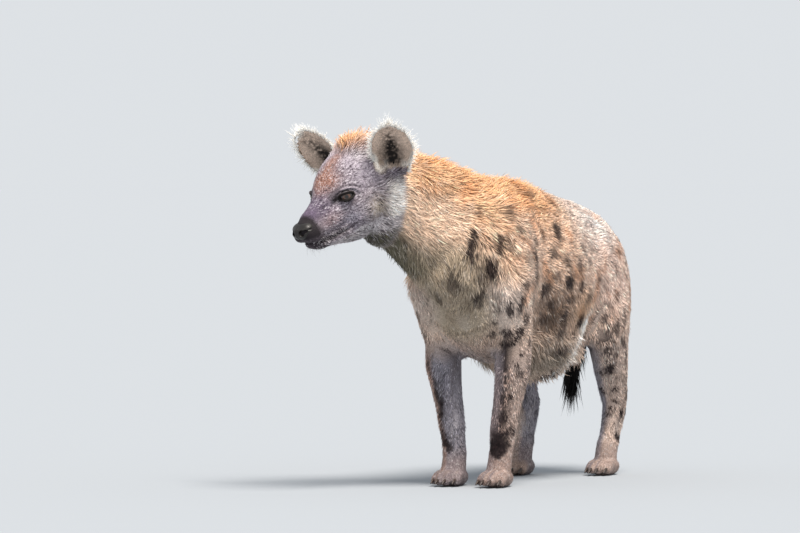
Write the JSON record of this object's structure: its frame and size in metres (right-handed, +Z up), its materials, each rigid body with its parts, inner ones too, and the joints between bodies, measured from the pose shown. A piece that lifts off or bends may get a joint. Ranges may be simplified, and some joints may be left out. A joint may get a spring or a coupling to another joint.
{
  "type": "spotted hyena, standing model",
  "caption": "Life-size still model of a spotted hyena that stands on four paws with its head turned to its right.",
  "frame": {"origin": "on the floor, under the middle of the animal's box", "axes": "+X the way the body faces, +Y the animal's left, +Z up"},
  "size_m": [1.249, 0.5548, 0.9195],
  "materials": {
    "face_fur": "short grey-brown fur",
    "nose_skin": "moist black skin",
    "eye": "glossy dark brown",
    "ear_fur": "short fur with a pale fringe",
    "body_fur": "rough spotted coat",
    "leg_fur": "short spotted fur",
    "paw_fur": "short dark fur",
    "brush_hair": "long black hair",
    "claws": "dark horn"
  },
  "bodies": {
    "root": {"head": "face_fur", "nose": "nose_skin", "eye_left": "eye", "eye_right": "eye", "ear_left": "ear_fur", "ear_right": "ear_fur", "neck": "body_fur", "torso": "body_fur", "foreleg_left": "leg_fur", "foreleg_right": "leg_fur", "hindleg_left": "leg_fur", "hindleg_right": "leg_fur", "forepaw_left": "paw_fur", "forepaw_right": "paw_fur", "hindpaw_left": "paw_fur", "hindpaw_right": "paw_fur", "tail": "body_fur", "tail_brush": "brush_hair"}
  },
  "joints": []
}
